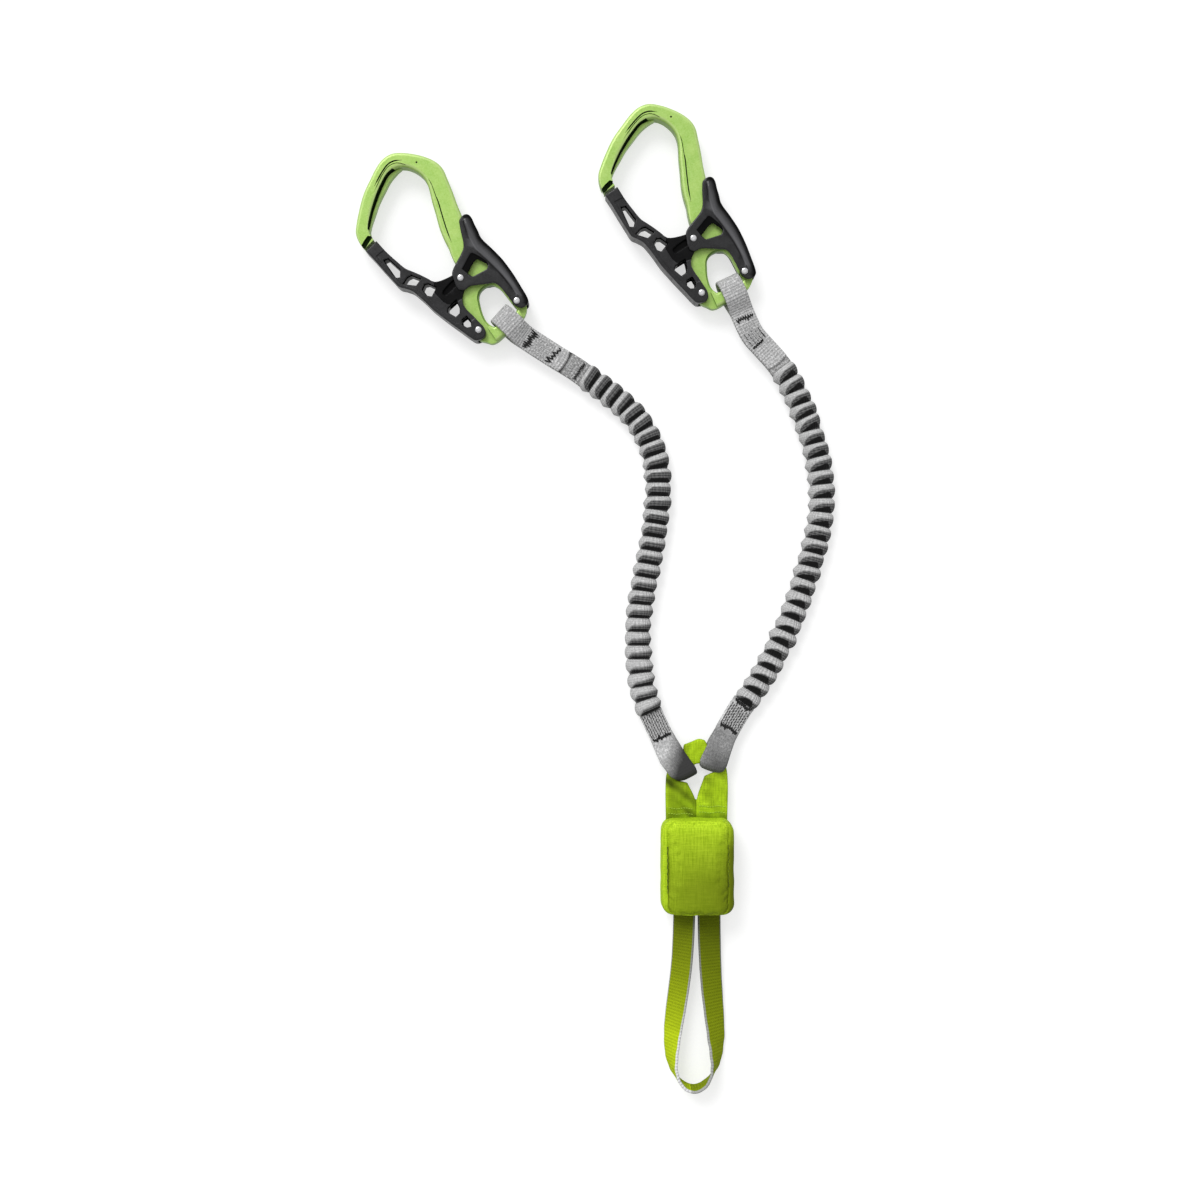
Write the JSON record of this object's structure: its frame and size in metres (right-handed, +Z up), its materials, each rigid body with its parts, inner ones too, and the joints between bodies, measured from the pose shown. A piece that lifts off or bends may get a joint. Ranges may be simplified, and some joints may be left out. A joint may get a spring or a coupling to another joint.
{
  "type": "via ferrata lanyard",
  "caption": "Via ferrata lanyard: two palm-squeeze locking carabiners on pleated elastic arms, joined to an energy absorber pouch and a sewn tie-in loop.",
  "frame": {"origin": "middle of the pouch's flat back, on the surface that the lanyard lies on", "axes": "+Y from the tie-in loop to the carabiners, +X to the right arm, +Z up off the surface"},
  "size_m": [0.2846, 0.5852, 0.0248],
  "materials": {
    "forged_green": "satin anodised green",
    "black_plastic": "satin moulded",
    "steel": "turned rivet heads",
    "spring_steel": "drawn wire",
    "grey_webbing": "woven polyamide",
    "dark_elastic": "covered rubber strands",
    "lime_fabric": "woven cover cloth",
    "lime_webbing": "woven webbing with pale edges",
    "tear_webbing": "tear webbing"
  },
  "bodies": {
    "webbing": {"pouch_body": "lime_fabric", "pouch_front": "lime_fabric", "absorber_webbing": "tear_webbing", "connection_band": "lime_webbing", "tie_in_loop": "lime_webbing", "eye_loop_left": "grey_webbing", "elastic_sleeve_left": "grey_webbing", "elastic_core_left": "dark_elastic", "band_loop_left": "grey_webbing", "eye_loop_right": "grey_webbing", "elastic_sleeve_right": "grey_webbing", "elastic_core_right": "dark_elastic", "band_loop_right": "grey_webbing"},
    "frame_left": {"carabiner_frame_left": "forged_green", "lever_rivet_left": "steel", "gate_rivet_left": "steel", "lever_spring_left": "spring_steel", "gate_spring_left": "spring_steel"},
    "lever_left": {"palm_lever_left": "black_plastic", "coupling_pin_left": "steel"},
    "gate_left": {"gate_left": "black_plastic"},
    "frame_right": {"carabiner_frame_right": "forged_green", "lever_rivet_right": "steel", "gate_rivet_right": "steel", "lever_spring_right": "spring_steel", "gate_spring_right": "spring_steel"},
    "lever_right": {"palm_lever_right": "black_plastic", "coupling_pin_right": "steel"},
    "gate_right": {"gate_right": "black_plastic"}
  },
  "joints": [
    {"name": "carabiner_swing_left", "type": "hinge", "parent": "webbing", "child": "frame_left", "pos_m": [-0.11117, 0.32134, 0.0081], "axis": [0.8221, 0.5693, 0], "range_deg": [0, 50]},
    {"name": "palm_lever_squeeze_left", "type": "hinge", "parent": "frame_left", "child": "lever_left", "pos_m": [-0.10692, 0.33398, 0.0081], "axis": [0, 0, 1], "range_deg": [0, 6], "stiffness_Nm_per_rad": 1, "springref_deg": -6.88},
    {"name": "gate_swing_left", "type": "hinge", "parent": "frame_left", "child": "gate_left", "pos_m": [-0.12954, 0.31683, 0.0081], "axis": [0, 0, 1], "range_deg": [-18, 0], "stiffness_Nm_per_rad": 0.1, "springref_deg": 11.46},
    {"name": "carabiner_swing_right", "type": "hinge", "parent": "webbing", "child": "frame_right", "pos_m": [0.02113, 0.33979, 0.0081], "axis": [0.9121, 0.4099, 0], "range_deg": [0, 50]},
    {"name": "palm_lever_squeeze_right", "type": "hinge", "parent": "frame_right", "child": "lever_right", "pos_m": [0.0276, 0.35145, 0.0081], "axis": [0, 0, 1], "range_deg": [0, 6], "stiffness_Nm_per_rad": 1, "springref_deg": -6.88},
    {"name": "gate_swing_right", "type": "hinge", "parent": "frame_right", "child": "gate_right", "pos_m": [0.00224, 0.3387, 0.0081], "axis": [0, 0, 1], "range_deg": [-18, 0], "stiffness_Nm_per_rad": 0.1, "springref_deg": 11.46}
  ],
  "couplings": [
    {"joint": "gate_swing_left", "follows": "palm_lever_squeeze_left", "ratio": -3},
    {"joint": "gate_swing_right", "follows": "palm_lever_squeeze_right", "ratio": -3}
  ]
}
